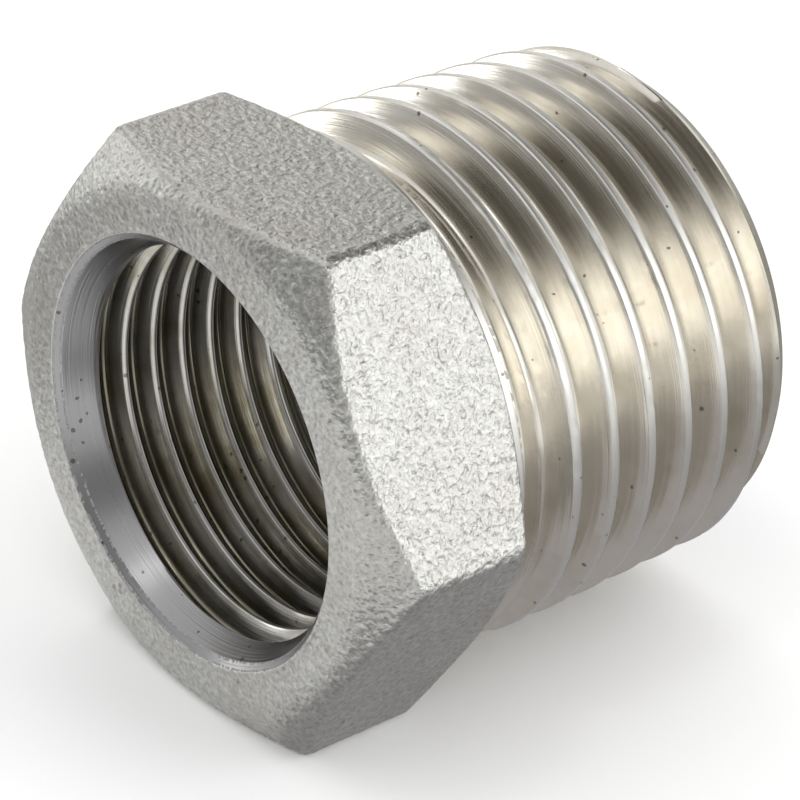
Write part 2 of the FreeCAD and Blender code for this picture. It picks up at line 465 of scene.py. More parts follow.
    def build(self) -> bpy.types.Object:
        """Builds the collar.

        Returns:
            The collar's object.
        """
        angles = self.column_angles()[None, :]
        radius, along, seen = self.rows(angles[0])
        shell = Shell("cast_collar")
        mouth = slice(self.mouth_rows + 1)
        marks = {"across": radius[mouth], "plain": np.ones(1)}
        shell.add_band(radius[mouth], along[mouth], angles, Finish.MACHINED, marks=marks)
        for rows in (slice(self.mouth_rows, seen + 1), slice(seen, None)):
            shell.add_band(radius[rows], along[rows], angles, Finish.CAST)
        piece = shell.build(self.sharp_angle)
        self.roughen(piece)
        return piece


@dataclass
class ThreadForm:
    """What both threads share: a groove with sloping flanks that winds round the axis."""

    pitch: float
    depth: float
    crest_width: float
    start_angle: float
    flank_slope: float = math.tan(math.radians(27.5))
    edge_round: float = 0.05
    land_depth: float = 0.06
    land_fade: float = 0.05
    columns: int = 288

    def half_mouth(self) -> float:
        """Half the groove's width where it meets a full crest."""
        return (self.pitch - self.crest_width) / 2

    def half_root(self) -> float:
        """Half the width of the groove's root."""
        return self.half_mouth() - self.depth * self.flank_slope

    def turn_share(self, angle: np.ndarray) -> np.ndarray:
        """Share of a turn from the start to each angle in degrees, always below 1."""
        share = ((self.start_angle - angle) / 360.0) % 1.0
        return np.where(share > 1.0 - NUDGE, 0.0, share)

    def turns_before(self, along: np.ndarray, start: float, share: np.ndarray) -> np.ndarray:
        """Number of the groove's last turn before each place, below 0 where there is none."""
        return np.floor((along - start) / self.pitch - share + NUDGE)

    def winding(self, first: int, turns: float) -> tuple[np.ndarray, np.ndarray]:
        """Columns that follow the groove round the axis.

        Args:
            first: Number of the first column, below 0 where it lies before the start.
            turns: Turns that are wound from the start.

        Returns:
            Turns up to each column, and the columns' angles in degrees as one row.
        """
        steps = np.arange(first, math.ceil(turns * self.columns) + 1) / self.columns
        return steps, (self.start_angle - 360.0 * steps)[None, :]


@dataclass(frozen=True)
class CrestWear:
    """The torn edges and rare dents of the outside thread's crests, in millimetres."""

    torn: RoughLayer = RoughLayer(0.20, 2, 51.3)
    torn_above: float = 0.05
    torn_depth: float = 0.035
    rare: RoughLayer = RoughLayer(0.45, 1, 77.1)
    rare_above: float = 0.36
    rare_depth: float = 0.06
    least: float = 0.35
    extra: float = 1.2
    extra_until: float = 11.2
    extra_fade: float = 1.5
    end_fade: float = 0.1
    start_gap: float = 0.3
    start_fade: float = 0.3

    def depths(
        self, angle: np.ndarray, along: np.ndarray, radius: np.ndarray, start: float, end: float
    ) -> np.ndarray:
        """Depth of the wear, most beside the hexagon and none on the end's bevel.

        Args:
            angle: Angles round the axis in degrees.
            along: Places along the axis.
            radius: Radius of the thread there.
            start: Place where the thread starts.
            end: Place where its bevel starts.

        Returns:
            One depth for each point.
        """
        turn = np.radians(angle)
        points = np.stack([radius * np.cos(turn), along, radius * np.sin(turn)], axis=-1).reshape(-1, 3)
        torn = self.torn.sample(points).reshape(along.shape)
        rare = self.rare.sample(points).reshape(along.shape)
        rough = self.least + self.extra * ease((self.extra_until - along) / self.extra_fade)
        depth = self.torn_depth * np.clip(torn - self.torn_above, 0.0, 1.0) * rough
        depth = depth + self.rare_depth * np.clip(rare - self.rare_above, 0.0, 1.0)
        held = ease((end - along) / self.end_fade)
        return depth * held * ease((along - start - self.start_gap) / self.start_fade)


@dataclass
class OutsideThread(ThreadForm):
    """The tapered outside thread, its run-out ring beside the shoulder and its bevelled end."""

    pitch: float = 1.814
    depth: float = 1.15
    crest_width: float = 0.26
    start_angle: float = 195.0
    root_round: float = 0.1
    taper: float = 1.0 / 32.0
    end_radius: float = 10.0
    shoulder_land: float = 0.28
    bevel_length: float = 1.2
    bevel_depth: float = 0.94
    lean: float = 0.035
    lean_angle: float = 25.0
    lean_drop: float = 0.03
    far_off: float = 9.0
    ring_depth: float = 0.12
    ring_fade: float = 0.1
    shoulder_rows: tuple[float, ...] = (-0.12, -0.04, 0.0, 0.04)
    ring_shares: tuple[float, ...] = (0.25, 0.5, 0.75)
    flank_shares: tuple[float, ...] = (0.0, 0.25, 0.5, 0.75)
    inside_root: float = 0.04
    outside_root: float = 0.03
    flank_trim: float = 0.08
    before_crest: float = 0.03
    after_crest: float = 0.035
    wear: CrestWear = field(default_factory=CrestWear)

    def cone(self, along: np.ndarray) -> np.ndarray:
        """Radius of the tapered thread's full crests."""
        return self.end_radius + (SIZES.length - along) * self.taper

    def ring_place(self) -> float:
        """Finds the middle of the run-out ring, where the thread starts.

        Returns:
            Its place along the axis.
        """
        edge = SIZES.hex_length + self.shoulder_land
        crest = self.end_radius + (SIZES.length - edge - self.half_mouth()) * self.taper
        return edge + self.half_mouth() - (crest - SIZES.stem_radius) * self.flank_slope

    def limit(self, angle: np.ndarray, along: np.ndarray) -> np.ndarray:
        """Radius that the crests reach: the taper, cut short by the slightly leaning cast stem."""
        lean = self.lean * (1.0 - np.cos(np.radians(angle + self.lean_angle))) - self.lean_drop
        return np.minimum(self.cone(along), SIZES.stem_radius + lean)

    def radius(self, angle: np.ndarray, along: np.ndarray) -> np.ndarray:
        """Radius of the finished thread.

        Args:
            angle: Angles round the axis in degrees.
            along: Places along the axis.

        Returns:
            One radius for each point.
        """
        start = self.ring_place()
        share = self.turn_share(angle)
        turn = self.turns_before(along, start, share)
        below = np.where(turn < 0, start, start + (share + turn) * self.pitch)
        above = start + (share + turn + 1.0) * self.pitch
        to_above = np.where(turn < -1, self.far_off, np.abs(above - along))
        offset = np.minimum(np.abs(along - below), to_above)
        offset = np.where(along < start, start - along, offset)
        root = self.cone(along) - self.depth
        flank = root + (offset - self.half_root()) / self.flank_slope
        groove = smooth_max(root, flank, self.root_round)
        surface = smooth_min(groove, self.limit(angle, along), self.edge_round)
        bevel_start = SIZES.length - self.bevel_length
        drop = self.bevel_depth + self.bevel_length * self.taper
        into = (along - bevel_start) / self.bevel_length
        bevel = self.end_radius + self.bevel_length * self.taper - drop * into
        return smooth_min(surface, bevel, self.edge_round)

    def half_rows(self, angle: np.ndarray, along: np.ndarray) -> np.ndarray:
        """Distances from a groove's middle at which rows run, out to the crest's middle.

        Args:
            angle: Angle round the axis of each column, in degrees.
            along: Place along the axis of each column's groove.

        Returns:
            One row of distances for each line of the thread.
        """
        cut_short = np.maximum(self.cone(along) - self.limit(angle, along), 0.0) * self.flank_slope
        edge = self.half_mouth() - cut_short
        root = self.half_root() * np.ones_like(edge)
        flank = edge - root - self.flank_trim
        rows = [0.0 * edge, root - self.inside_root]
        rows += [root + self.outside_root + flank * share for share in self.flank_shares]
        rows += [edge - self.before_crest, edge, edge + self.after_crest, self.pitch / 2 + 0.0 * edge]
        return np.stack(rows)

    def add_ring(self, shell: Shell, start: float) -> None:
        """Adds the faces from the shoulder to the middle of the run-out ring.

        Args:
            shell: Shell that takes the faces.
            start: Place of the ring's middle.
        """
        degrees = np.arange(self.columns) * 360.0 / self.columns
        edge = SIZES.hex_length + self.shoulder_land
        root = start - self.half_root()
        places = [SIZES.hex_length - SIZES.flange_inset, SIZES.hex_length]
        places += [edge + gap for gap in self.shoulder_rows]
        places += [edge + (root - edge) * share for share in self.ring_shares]
        places += [root - self.outside_root, root + self.inside_root, start]
        along = np.array(places)[:, None] + 0.0 * degrees[None, :]
        radius = self.radius(degrees[None, :] + 0.0 * along, along)
        land = ease((radius - SIZES.stem_radius + self.ring_depth) / self.ring_fade)
        marks = {"across": along, "land": land}
        shell.add_band(radius, along, degrees[None, :], Finish.OUTSIDE_THREAD, marks=marks)

    def add_to(self, shell: Shell) -> None:
        """Adds the thread's faces, from the shoulder's ring to the fitting's end.

        Args:
            shell: Shell that takes the faces.
        """
        start = self.ring_place()
        self.add_ring(shell, start)
        steps, angle = self.winding(0, (SIZES.length - start) / self.pitch + 1.0)
        above = start + steps * self.pitch
        below = np.maximum(above - self.pitch, start)
        middle = (above - below) / 2
        half = self.half_rows(angle[0], below)
        lower = below + np.minimum(half, middle)
        upper = above - np.minimum(half, middle)
        along = snap(np.concatenate([lower, upper[-2::-1]]), SIZES.length)
        along = np.clip(along, start, SIZES.length)
        angle = angle + 0.0 * along
        radius = self.radius(angle, along)
        land = ease((radius - self.limit(angle, along) + self.land_depth) / self.land_fade)
        bevel_start = SIZES.length - self.bevel_length
        radius = radius - self.wear.depths(angle, along, radius, start, bevel_start) * land
        marks = {"across": np.concatenate([half, half[-2::-1]]) + 0.0 * along, "land": land}
        shell.add_band(radius, along, angle, Finish.OUTSIDE_THREAD, closed=False, marks=marks)


@dataclass
class InsideThread(ThreadForm):
    """The parallel inside thread, with the conical lead-in in front of it."""

    pitch: float = 1.337
    depth: float = 0.82
    crest_width: float = 0.12
    start_angle: float = 38.75
    root_round: float = 0.42
    minor_radius: float = 7.475
    lead_in_place: float = 1.4
    thread_end: float = 13.5
    plain_fade: float = 0.12
    run_in: float = 0.18
    run_out: float = 1.3
    # Where the painted shade in the groove roots starts, as a share of the depth, and how soon it is full.
    root_shade_start: float = 0.6
    root_shade_fade: float = 0.36
    flank_shares: tuple[float, ...] = (0.0, 0.22, 0.45, 0.7, 0.92)
    after_crest: float = 0.02

    def radius(self, angle: np.ndarray, along: np.ndarray) -> np.ndarray:
        """Radius of the finished thread and of the lead-in.

        Args:
            angle: Angles round the axis in degrees.
            along: Places along the axis.

        Returns:
            One radius for each point.
        """
        opening = SIZES.mouth_radius - SIZES.mouth_bevel
        into = (along - SIZES.mouth_bevel) / (self.lead_in_place - SIZES.mouth_bevel)
        cone = opening + (self.minor_radius - opening) * into
        surface = smooth_max(cone, self.minor_radius + 0.0 * along, self.edge_round)
        share = self.turn_share(angle)
        turn = self.turns_before(along, self.lead_in_place, share)
        at_end = ease((self.thread_end - along) / self.plain_fade)
        for number in (turn, turn + 1.0):
            middle = self.lead_in_place + (share + number) * self.pitch
            cut_in = ease((share + number) / self.run_in) * ease((self.thread_end - middle) / self.run_out)
            offset = np.abs(along - middle)
            flank = self.minor_radius + (self.half_mouth() - offset) / self.flank_slope
            groove = smooth_min(flank, self.minor_radius + self.depth + 0.0 * offset, self.root_round)
            deeper = smooth_max(surface, groove, self.edge_round)
            surface = surface + (deeper - surface) * cut_in * at_end
        return surface

    def add_to(self, shell: Shell) -> None:
        """Adds the lead-in's and the thread's faces.

        Args:
            shell: Shell that takes the faces.
        """
        turns = (self.thread_end - self.lead_in_place) / self.pitch + 1.0
        steps, angle = self.winding(-self.columns, turns)
        above = self.lead_in_place + steps * self.pitch
        edge, root = self.half_mouth(), self.half_root()
        flank = [root + (edge - root) * share for share in self.flank_shares]
        half = np.array([0.0, root / 2, *flank, edge + self.after_crest, self.pitch / 2])[:, None]
        lower = above - self.pitch + half
        upper = above - half
        along = snap(np.concatenate([lower, upper[-2::-1]]), SIZES.mouth_bevel)
        along = np.clip(snap(along, self.thread_end), SIZES.mouth_bevel, self.thread_end)
        angle = angle + 0.0 * along
        radius = self.radius(angle, along)
        across = np.concatenate([half, half[-2::-1]]) + 0.0 * along
        plain = ease((self.lead_in_place + self.plain_fade - along) / self.plain_fade)
        # How far each point lies into the groove's root, for the painted shade there.
        root_shade = radius - self.minor_radius - self.root_shade_start * self.depth
        marks = {
            "across": across + (along - across) * plain,
            "land": ease((self.minor_radius + self.land_depth - radius) / self.land_fade),
            "root_shade": ease(root_shade / (self.root_shade_fade * self.depth)),
            "plain": plain,
        }
        shell.add_band(radius, along, angle, Finish.INSIDE_THREAD, closed=False, marks=marks)


@dataclass
class TurnedStem:
    """The machined part of the fitting: the outside thread, the end and the whole bore."""

    outside: OutsideThread = field(default_factory=OutsideThread)
    inside: InsideThread = field(default_factory=InsideThread)
    through_radius: float = 7.25
    through_bevel: float = 0.4
    columns: int = 288
    end_rings: int = 5
    through_rows: tuple[int, ...] = (3, 24, 2)
    sleeve_rows: tuple[int, ...] = (1, 3)
    sharp_angle: float = 60.0

    def ring(
        self, corners: list[tuple[float, float]], rows: tuple[int, ...]
    ) -> tuple[np.ndarray, np.ndarray]:
        """Lays rows along a section that is the same all round.

        Args:
            corners: Section's corners, as distance from the axis and place along it.
            rows: Number of rows on each stretch between two corners.

        Returns:
            Distances from the axis for each column, and places along it as one column.
        """
        lines = []
        for (r0, y0), (r1, y1), steps in zip(corners, corners[1:], rows):
            for step in range(steps):
                lines.append((r0 + (r1 - r0) * step / steps, y0 + (y1 - y0) * step / steps))
        lines.append(corners[-1])
        grid = np.array(lines)
        return grid[:, :1] + np.zeros(self.columns), grid[:, 1:]

    def build(self) -> bpy.types.Object:
        """Builds the stem.

        Returns:
            The stem's object.
        """
        shell = Shell("turned_stem")
        degrees = np.arange(self.columns)[None, :] * 360.0 / self.columns
        self.outside.add_to(shell)
        self.inside.add_to(shell)
        rim = self.outside.radius(degrees, SIZES.length + 0.0 * degrees)
        step = self.inside.minor_radius - self.through_radius
        edge_radius = self.through_radius + self.through_bevel
        shares = np.linspace(0.0, 1.0, self.end_rings + 1)[:, None]
        face = rim + (edge_radius - rim) * shares
        end = SIZES.length + 0.0 * face
        shell.add_band(face, end, degrees, Finish.MACHINED, marks={"across": face})
        through = [
            (edge_radius, SIZES.length),
            (self.through_radius, SIZES.length - self.through_bevel),
            (self.through_radius, self.inside.thread_end + step),
            (self.inside.minor_radius, self.inside.thread_end),
        ]
        radius, along = self.ring(through, self.through_rows)
        shell.add_band(radius, along, degrees, Finish.MACHINED, marks={"across": along})
        flange_place = SIZES.hex_length - SIZES.flange_inset
        sleeve = [
            (SIZES.mouth_radius - SIZES.mouth_bevel, SIZES.mouth_bevel),
            (SIZES.sleeve_radius, 2 * SIZES.mouth_bevel),
            (SIZES.sleeve_radius, flange_place),
        ]
        radius, along = self.ring(sleeve, self.sleeve_rows)
        shell.add_band(radius, along, degrees, Finish.MACHINED)
        lower = self.outside.radius(degrees, flange_place + 0.0 * degrees)
        flange = np.concatenate([radius[-1:], lower])
        shell.add_band(flange, flange_place + 0.0 * flange, degrees, Finish.MACHINED)
        return shell.build(self.sharp_angle)


def add_nodes(tree: bpy.types.NodeTree, kinds: dict[str, str]) -> None:
    """Adds nodes to a tree, each with a type and a name of its own."""
    for name, kind in kinds.items():
        tree.nodes.new(kind).name = name


def wire(tree: bpy.types.NodeTree, links: list[tuple[str, str | int, str, str | int]]) -> None:
    """Links nodes that a tree holds.

    Args:
        tree: The tree.
        links: For each link: a node and its output, then the next node and its input.
    """
    for source, output, target, place in links:
        tree.links.new(tree.nodes[source].outputs[output], tree.nodes[target].inputs[place])


class SurfaceEffects:
    """Shader groups that more than one finish uses, each built once."""

    def __init__(self) -> None:
        """Builds the groups."""
        self.tool_marks = self.build_tool_marks()
        self.grain = self.build_grain()
        self.flecks = self.build_flecks()
        self.blotches = self.build_blotches()

    @staticmethod
    def new_group(
        name: str, inputs: dict[str, float], output: str, kinds: dict[str, str]
    ) -> bpy.types.NodeTree:
        """Makes a group with its sockets and its nodes, which aren't linked yet.

        Args:
            name: Group's name.
            inputs: Names and starting values of its inputs.
            output: Name of its output.
            kinds: Types of its nodes by their names, besides in, out and place.

        Returns:
            The new group.
        """
        group = bpy.data.node_groups.new(name, "ShaderNodeTree")
        for label, value in inputs.items():
            socket = group.interface.new_socket(label, in_out="INPUT", socket_type="NodeSocketFloat")
            socket.default_value = value
        group.interface.new_socket(output, in_out="OUTPUT", socket_type="NodeSocketFloat")
        add_nodes(group, {"in": "NodeGroupInput", "out": "NodeGroupOutput"})
        add_nodes(group, {"place": "ShaderNodeNewGeometry"} | kinds)
        return group

    def build_tool_marks(self) -> bpy.types.NodeTree:
        """Fine lines that a cutting tool leaves, which run along the cut.

        Returns:
            The group. Its Height is the lines' relief.
        """
        kinds = {
            "across": "ShaderNodeAttribute",
            "lines": "ShaderNodeMath",
            "drift": "ShaderNodeVectorMath",
            "join": "ShaderNodeVectorMath",
            "cast": "ShaderNodeCombineXYZ",
            "noise": "ShaderNodeTexNoise",
        }
        group = self.new_group("tool marks", {"Spacing": 0.05, "Drift": 0.12}, "Height", kinds)
        group.nodes["across"].attribute_name = "across"
        group.nodes["lines"].operation = "DIVIDE"
        group.nodes["drift"].operation = "SCALE"
        group.nodes["join"].operation = "ADD"
        group.nodes["noise"].inputs["Scale"].default_value = 1.0
        group.nodes["noise"].inputs["Detail"].default_value = 2.0
        group.nodes["noise"].inputs["Roughness"].default_value = 0.6
        links = [
            ("across", "Fac", "lines", 0),
            ("in", "Spacing", "lines", 1),
            ("lines", 0, "cast", "X"),
            ("lines", 0, "cast", "Y"),
            ("place", "Position", "drift", 0),
            ("in", "Drift", "drift", "Scale"),
            ("cast", 0, "join", 0),
            ("drift", 0, "join", 1),
            ("join", 0, "noise", "Vector"),
            ("noise", "Fac", "out", "Height"),
        ]
        wire(group, links)
        return group

    def build_grain(self) -> bpy.types.NodeTree:
        """The fine relief of blasted cast steel.

        Returns:
            The group. Its Height is the relief.
        """
        kinds = {
            "noise": "ShaderNodeTexNoise",
            "cells": "ShaderNodeTexVoronoi",
            "coarser": "ShaderNodeMath",
            "mix": "ShaderNodeMath",
        }
        group = self.new_group("blasted grain", {"Scale": 4000.0, "Detail": 2.0}, "Height", kinds)
        cell_scale, cell_share = 0.7, 0.8
        group.nodes["cells"].feature = "SMOOTH_F1"
        group.nodes["coarser"].operation = "MULTIPLY"
        group.nodes["coarser"].inputs[1].default_value = cell_scale
        group.nodes["mix"].operation = "MULTIPLY_ADD"
        group.nodes["mix"].inputs[1].default_value = cell_share
        links = [
            ("in", "Scale", "noise", "Scale"),
            ("in", "Detail", "noise", "Detail"),
            ("in", "Scale", "coarser", 0),
            ("coarser", 0, "cells", "Scale"),
            ("place", "Position", "noise", "Vector"),
            ("place", "Position", "cells", "Vector"),
            ("cells", "Distance", "mix", 0),
            ("noise", "Fac", "mix", 2),
            ("mix", 0, "out", "Height"),
        ]
        wire(group, links)
        return group

    def build_flecks(self) -> bpy.types.NodeTree:
        """Small scattered flecks, such as pits, dirt or oil spots.

        Returns:
            The group. Its Mask is 1 inside a fleck.
        """
        kinds = {
            "warp": "ShaderNodeTexNoise",
            "bend": "ShaderNodeVectorMath",
            "cells": "ShaderNodeTexVoronoi",
            "split": "ShaderNodeSeparateColor",
            "chosen": "ShaderNodeMath",
            "size": "ShaderNodeMath",
            "inside": "ShaderNodeMath",
            "both": "ShaderNodeMath",
        }
        inputs = {"Scale": 1500.0, "Share": 0.1, "Size": 0.25}
        group = self.new_group("flecks", inputs, "Mask", kinds)
        warp_scale, warp_reach = 6000.0, 0.12 * MM
        group.nodes["warp"].inputs["Scale"].default_value = warp_scale
        group.nodes["bend"].operation = "MULTIPLY_ADD"
        group.nodes["bend"].inputs[1].default_value = (warp_reach, warp_reach, warp_reach)
        group.nodes["chosen"].operation = "LESS_THAN"
        group.nodes["size"].operation = "MULTIPLY"
        group.nodes["inside"].operation = "LESS_THAN"
        group.nodes["both"].operation = "MULTIPLY"
        links = [
            ("place", "Position", "warp", "Vector"),
            ("warp", "Color", "bend", 0),
            ("place", "Position", "bend", 2),
            ("bend", 0, "cells", "Vector"),
            ("in", "Scale", "cells", "Scale"),
            ("cells", "Color", "split", 0),
            ("split", 0, "chosen", 0),
            ("in", "Share", "chosen", 1),
            ("split", 1, "size", 0),
            ("in", "Size", "size", 1),
            ("cells", "Distance", "inside", 0),
            ("size", 0, "inside", 1),
            ("chosen", 0, "both", 0),
            ("inside", 0, "both", 1),
            ("both", 0, "out", "Mask"),
        ]
        wire(group, links)
        return group

    def build_blotches(self) -> bpy.types.NodeTree:
        """Soft uneven patches, such as stain, oil or heat tint.

        Returns:
            The group. Its Mask runs from 0 to 1.
        """
        kinds = {"noise": "ShaderNodeTexNoise", "range": "ShaderNodeMapRange"}
        group = self.new_group("blotches", {"Scale": 250.0, "Low": 0.4, "High": 0.65}, "Mask", kinds)
        group.nodes["noise"].inputs["Detail"].default_value = 4.0
        group.nodes["noise"].inputs["Roughness"].default_value = 0.6
        group.nodes["range"].interpolation_type = "SMOOTHSTEP"
        links = [
            ("place", "Position", "noise", "Vector"),
            ("in", "Scale", "noise", "Scale"),
            ("noise", "Fac", "range", "Value"),
            ("in", "Low", "range", "From Min"),
            ("in", "High", "range", "From Max"),
            ("range", "Result", "out", "Mask"),
        ]
        wire(group, links)
        return group


class SteelFinish:
    """A finish on the fitting's steel, built up node by node."""

    def __init__(self, name: str) -> None:
        """Starts a metal material.

        Args:
            name: Material's name.
        """
        self.material = bpy.data.materials.new(name)
        self.material.use_nodes = True
        self.tree = self.material.node_tree
        self.shader = self.tree.nodes["Principled BSDF"]
        self.shader.inputs["Metallic"].default_value = 1.0

    def node(self, kind: str) -> bpy.types.Node:
        """Adds one node of a type."""
        return self.tree.nodes.new(kind)

    def group(self, tree: bpy.types.NodeTree, **values: float) -> bpy.types.NodeSocket:
        """Places a shared group with its own values.

        Args:
            tree: The group.
            values: Its inputs.

        Returns:
            The group's output.
        """
        placed = self.node("ShaderNodeGroup")
        placed.node_tree = tree
        for name, value in values.items():
            placed.inputs[name].default_value = value
        return placed.outputs[0]

    def mix(
        self, mask: bpy.types.NodeSocket, low: Colour | bpy.types.NodeSocket, high: Colour
    ) -> bpy.types.NodeSocket:
        """Mixes two colours by a mask.

        Args:
            mask: Value from 0 to 1.
            low: Colour, or a colour's socket, where the mask is 0.
            high: Colour where it is 1.

        Returns:
            The mixed colour.
        """
        blend = self.node("ShaderNodeMix")
        blend.data_type = "RGBA"
        self.tree.links.new(mask, blend.inputs["Factor"])
        if isinstance(low, tuple):
            blend.inputs[MIX_FIRST].default_value = low
        else:
            self.tree.links.new(low, blend.inputs[MIX_FIRST])
        blend.inputs[MIX_SECOND].default_value = high
        return blend.outputs[MIX_RESULT]

    def ramp(
        self,
        value: bpy.types.NodeSocket,
        low: float,
        high: float,
        start: float = 0.0,
        end: float = 1.0,
    ) -> bpy.types.NodeSocket:
        """Spreads a value over a range from low to high.

        Args:
            value: Value that is spread.
            low: What the start becomes.
            high: What the end becomes.
            start: Lowest value.
            end: Highest value.

        Returns:
            The spread value.
        """
        spread = self.node("ShaderNodeMapRange")
        spread.inputs["From Min"].default_value = start
        spread.inputs["From Max"].default_value = end
        spread.inputs["To Min"].default_value = low
        spread.inputs["To Max"].default_value = high
        self.tree.links.new(value, spread.inputs["Value"])
        return spread.outputs["Result"]

    def times(self, value: bpy.types.NodeSocket, by: float) -> bpy.types.NodeSocket:
        """Multiplies a value by a number.

        Args:
            value: The value.
            by: The number.

        Returns:
            Their product.
        """
        product = self.node("ShaderNodeMath")
        product.operation = "MULTIPLY"
        self.tree.links.new(value, product.inputs[0])
        product.inputs[1].default_value = by
        return product.outputs[0]

    def plus(self, value: bpy.types.NodeSocket, other: bpy.types.NodeSocket) -> bpy.types.NodeSocket:
        """Adds two values.

        Args:
            value: First value.
            other: Second value.

        Returns:
            Their sum.
        """
        total = self.node("ShaderNodeMath")
        total.operation = "ADD"
        self.tree.links.new(value, total.inputs[0])
        self.tree.links.new(other, total.inputs[1])
        return total.outputs[0]

    def attribute(self, name: str, share: float = 1.0) -> bpy.types.NodeSocket:
        """Reads a value that the mesh carries at each point.

        Args:
            name: Name of the mesh's attribute.
            share: Share of the value that is taken.

        Returns:
            That share of the value.
        """
        reader = self.node("ShaderNodeAttribute")
        reader.attribute_name = name
        return self.times(reader.outputs["Fac"], share)

    def relief(self, height: bpy.types.NodeSocket, depth: float) -> None:
        """Adds a relief to the surface, over any that it has.

        Args:
            height: Relief from 0 to 1.
            depth: Its depth in metres.
        """
        bump = self.node("ShaderNodeBump")
        bump.inputs["Distance"].default_value = depth
        self.tree.links.new(height, bump.inputs["Height"])
        before = self.shader.inputs["Normal"].links
        if before:
            self.tree.links.new(before[0].from_socket, bump.inputs["Normal"])
        self.tree.links.new(bump.outputs["Normal"], self.shader.inputs["Normal"])

    def colour(self, socket: bpy.types.NodeSocket) -> None:
        """Sets the steel's colour from a socket."""
        self.tree.links.new(socket, self.shader.inputs["Base Color"])

    def roughness(self, socket: bpy.types.NodeSocket) -> None:
        """Sets the steel's roughness from a socket."""
        self.tree.links.new(socket, self.shader.inputs["Roughness"])


@dataclass(frozen=True)
class CastSkin:
    """The blasted skin of the casting: matt, grainy, with faint brown specks and painted shade in the
    grain's hollows.
    """

    steel: Colour = (0.57, 0.57, 0.545, 1.0)
    # Painted shade: the darker colour laid into the fine grain's hollows, between hollow_start and
    # hollow_end.
    shaded_hollow: Colour = (0.365, 0.36, 0.34, 1.0)
    hollow_start: float = 0.5
    hollow_end: float = 1.1
    warm: Colour = (0.42, 0.39, 0.35, 1.0)
    warm_strength: float = 0.35
    speck: Colour = (0.20, 0.155, 0.115, 1.0)
    speck_strength: float = 0.55
    low_gloss: float = 0.30
    high_gloss: float = 0.42
    coarse_depth: float = 0.000050
    fine_depth: float = 0.000028

    def build(self, effects: SurfaceEffects) -> bpy.types.Material:
        """Builds the material.

        Args:
            effects: Groups that the finishes share.

        Returns:
            The material.
        """
        finish = SteelFinish("cast skin")
        coarse = finish.group(effects.grain, Scale=4200.0, Detail=2.0)
        fine = finish.group(effects.grain, Scale=7200.0, Detail=1.5)
        patches = finish.group(effects.blotches, Scale=260.0, Low=0.42, High=0.72)
        specks = finish.group(effects.flecks, Scale=2600.0, Share=0.10, Size=0.30)
        # Painted shade: the fine grain's low parts take the darker hollow colour and its raised parts take
        # the steel.
        raised = finish.ramp(fine, 0.0, 1.0, self.hollow_start, self.hollow_end)
        base = finish.mix(raised, self.shaded_hollow, self.steel)
        base = finish.mix(finish.times(patches, self.warm_strength), base, self.warm)
        base = finish.mix(finish.times(specks, self.speck_strength), base, self.speck)
        finish.colour(base)
        finish.roughness(finish.ramp(fine, self.low_gloss, self.high_gloss))
        finish.relief(coarse, self.coarse_depth)
        finish.relief(fine, self.fine_depth)
        return finish.material


@dataclass(frozen=True)
class TurnedSteel:
    """Bright steel as a lathe leaves it, with fine lines along the cut, and painted shade deep in the
    grooves where the mesh marks it.
    """

    name: str
    steel: Colour
    stain: Colour
    crest: Colour
    stain_strength: float
    low_gloss: float
    high_gloss: float
    speck_share: float = 0.05
    speck: Colour = (0.07, 0.055, 0.03, 1.0)
    speck_strength: float = 0.7
    # Painted shade: a dark colour laid into the roots of the inside thread's grooves, by how deep they lie.
    root: Colour = (0.12, 0.105, 0.06, 1.0)
    root_shade_strength: float = 0.8
    crest_strength: float = 0.7
    plain: Colour = (0.345, 0.34, 0.345, 1.0)
    plain_dullness: float = 0.08
    crest_dullness: float = 0.16
    mark_depth: float = 0.000012

    def build(self, effects: SurfaceEffects) -> bpy.types.Material:
        """Builds the material.

        Args:
            effects: Groups that the finishes share.

        Returns:
            The material.
        """
        finish = SteelFinish(self.name)
        lines = finish.group(effects.tool_marks, Spacing=0.09, Drift=90.0)
        smears = finish.group(effects.blotches, Scale=420.0, Low=0.42, High=0.68)
        specks = finish.group(effects.flecks, Scale=3400.0, Share=self.speck_share, Size=0.34)
        base = finish.mix(finish.times(smears, self.stain_strength), self.steel, self.stain)
        # Painted shade: darkens the steel towards the groove roots.
        base = finish.mix(finish.attribute("root_shade", self.root_shade_strength), base, self.root)
        base = finish.mix(finish.attribute("land", self.crest_strength), base, self.crest)
        base = finish.mix(finish.attribute("plain"), base, self.plain)
        base = finish.mix(finish.times(specks, self.speck_strength), base, self.speck)
        finish.colour(base)
        plain = finish.attribute("plain", self.plain_dullness)
        duller = finish.plus(plain, finish.attribute("land", self.crest_dullness))
        finish.roughness(finish.plus(finish.ramp(lines, self.low_gloss, self.high_gloss), duller))
        finish.relief(lines, self.mark_depth)
        return finish.material


def flat_sheet(name: str, width: float, height: float) -> bpy.types.Object:
    """Makes a level rectangle round the origin.

    Args:
        name: Name of the object.
        width: Size along X in metres.
        height: Size along Y.

    Returns:
        The object, linked to the scene.
    """
    x, y = width / 2, height / 2
    mesh = bpy.data.meshes.new(name)
    mesh.from_pydata([(-x, -y, 0), (x, -y, 0), (x, y, 0), (-x, y, 0)], [], [(0, 1, 2, 3)])
    sheet = bpy.data.objects.new(name, mesh)
    bpy.context.scene.collection.objects.link(sheet)
    return sheet


@dataclass(frozen=True)
class SoftLamp:
    """A soft lamp that faces the fitting."""

    name: str
    place: Place
    width: float
    height: float
    level: float

    def build(self) -> None:
        """Hangs the lamp."""
        light = bpy.data.lights.new(self.name, "AREA")
        light.shape = "RECTANGLE"
        light.size = self.width
        light.size_y = self.height
        light.energy = self.level * math.pi * self.width * self.height
        lamp = bpy.data.objects.new(self.name, light)
        lamp.location = self.place
        lamp.rotation_mode = "QUATERNION"
        lamp.rotation_quaternion = (-Vector(self.place)).to_track_quat("-Z", "Y")
        lamp.visible_camera = False
        bpy.context.scene.collection.objects.link(lamp)


